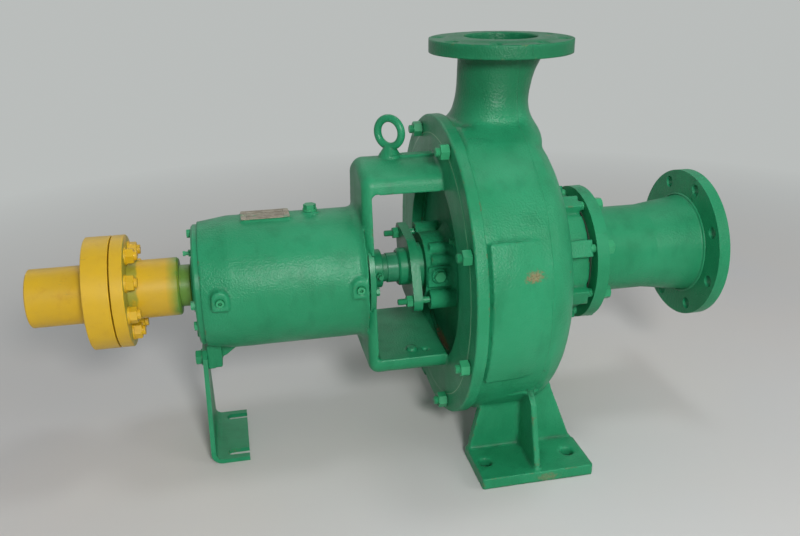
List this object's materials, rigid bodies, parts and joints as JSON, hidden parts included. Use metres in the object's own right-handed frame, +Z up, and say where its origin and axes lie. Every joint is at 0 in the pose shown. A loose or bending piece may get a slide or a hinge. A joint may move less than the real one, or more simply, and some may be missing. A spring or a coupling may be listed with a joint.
{
  "type": "end-suction centrifugal pump",
  "caption": "Horizontal end-suction volute pump with bearing bracket, packed gland, suction spool, support leg and flexible pin coupling; the rotor turns and the gland slides.",
  "frame": {"origin": "centre of the casing's four foot holes, on the face the feet stand on, straight below the discharge flange", "axes": "+X along the shaft line towards the suction flange, +Z up towards the discharge flange, -Y the near side"},
  "size_m": [1.2096, 0.5515, 0.715],
  "materials": {
    "green_paint": "brushed-on gloss enamel over castings",
    "yellow_paint": "satin enamel",
    "overspray_collar": "green enamel with yellow overspray",
    "sleeve_steel": "turned steel under thin green paint",
    "grey_iron": "machined casting",
    "bronze": "turned",
    "bright_steel": "ground",
    "cage_brass": "machined",
    "graphite_packing": "braided",
    "gasket_sheet": "matt, rust stained at the edge",
    "bush_rubber": "matt",
    "bare_plate": "bare, a little paint on it"
  },
  "bodies": {
    "pump_stand": {"volute_casing": "green_paint", "casing_drain_plug": "green_paint", "casing_wear_ring": "grey_iron", "suction_gasket": "gasket_sheet", "suction_spool": "green_paint", "suction_spool_bolts": "green_paint", "casing_cover": "green_paint", "cover_gasket": "gasket_sheet", "cover_jacking_screws": "green_paint", "seal_water_plug": "green_paint", "throat_bush": "bronze", "rear_packing_rings": "graphite_packing", "front_packing_ring": "graphite_packing", "lantern_ring": "bronze", "gland_studs": "green_paint", "casing_studs": "green_paint", "casing_nuts": "green_paint", "bearing_bracket": "green_paint", "nameplate": "bare_plate", "nameplate_pins": "bare_plate", "filler_plug": "green_paint", "oil_plugs": "green_paint", "drive_end_outer_ring": "bright_steel", "pump_end_outer_ring": "bright_steel", "drive_end_cover": "green_paint", "drive_end_cover_bolts": "green_paint", "drive_end_cover_plug": "green_paint", "drive_end_nipple": "green_paint", "pump_end_cover": "green_paint", "pump_end_cover_bolts": "green_paint", "pump_end_nipple": "green_paint", "support_leg": "green_paint", "support_leg_bolt": "green_paint", "eye_bolt": "green_paint"},
    "rotor": {"pump_shaft": "bright_steel", "impeller": "grey_iron", "impeller_key": "bright_steel", "impeller_nut": "bright_steel", "shaft_sleeve": "sleeve_steel", "shaft_collar": "overspray_collar", "bearing_lock_nut": "bright_steel", "drive_end_inner_ring": "bright_steel", "pump_end_inner_ring": "bright_steel", "coupling_key": "bright_steel", "pump_half_coupling": "yellow_paint", "coupling_pins": "yellow_paint", "coupling_pin_nuts": "yellow_paint", "coupling_bushes": "bush_rubber"},
    "motor_half": {"motor_half_coupling": "yellow_paint"},
    "drive_end_ball_train": {"drive_end_balls": "bright_steel", "drive_end_cage": "cage_brass"},
    "pump_end_ball_train": {"pump_end_balls": "bright_steel", "pump_end_cage": "cage_brass"},
    "gland": {"gland_follower": "green_paint", "gland_nuts": "green_paint"}
  },
  "joints": [
    {"name": "rotor_spin", "type": "hinge", "parent": "pump_stand", "child": "rotor", "pos_m": [0, 0, 0.315], "axis": [1, 0, 0], "continuous": true},
    {"name": "motor_half_spin", "type": "hinge", "parent": "pump_stand", "child": "motor_half", "pos_m": [-0.7, 0, 0.315], "axis": [1, 0, 0], "continuous": true},
    {"name": "drive_end_ball_roll", "type": "hinge", "parent": "pump_stand", "child": "drive_end_ball_train", "pos_m": [-0.5035, 0, 0.315], "axis": [1, 0, 0], "continuous": true},
    {"name": "pump_end_ball_roll", "type": "hinge", "parent": "pump_stand", "child": "pump_end_ball_train", "pos_m": [-0.2685, 0, 0.315], "axis": [1, 0, 0], "continuous": true},
    {"name": "gland_slide", "type": "slide", "parent": "pump_stand", "child": "gland", "axis": [1, 0, 0], "range_m": [-0.012, 0]}
  ],
  "couplings": [
    {"joint": "motor_half_spin", "follows": "rotor_spin", "ratio": 1},
    {"joint": "drive_end_ball_roll", "follows": "rotor_spin", "ratio": 0.383},
    {"joint": "pump_end_ball_roll", "follows": "rotor_spin", "ratio": 0.383}
  ]
}
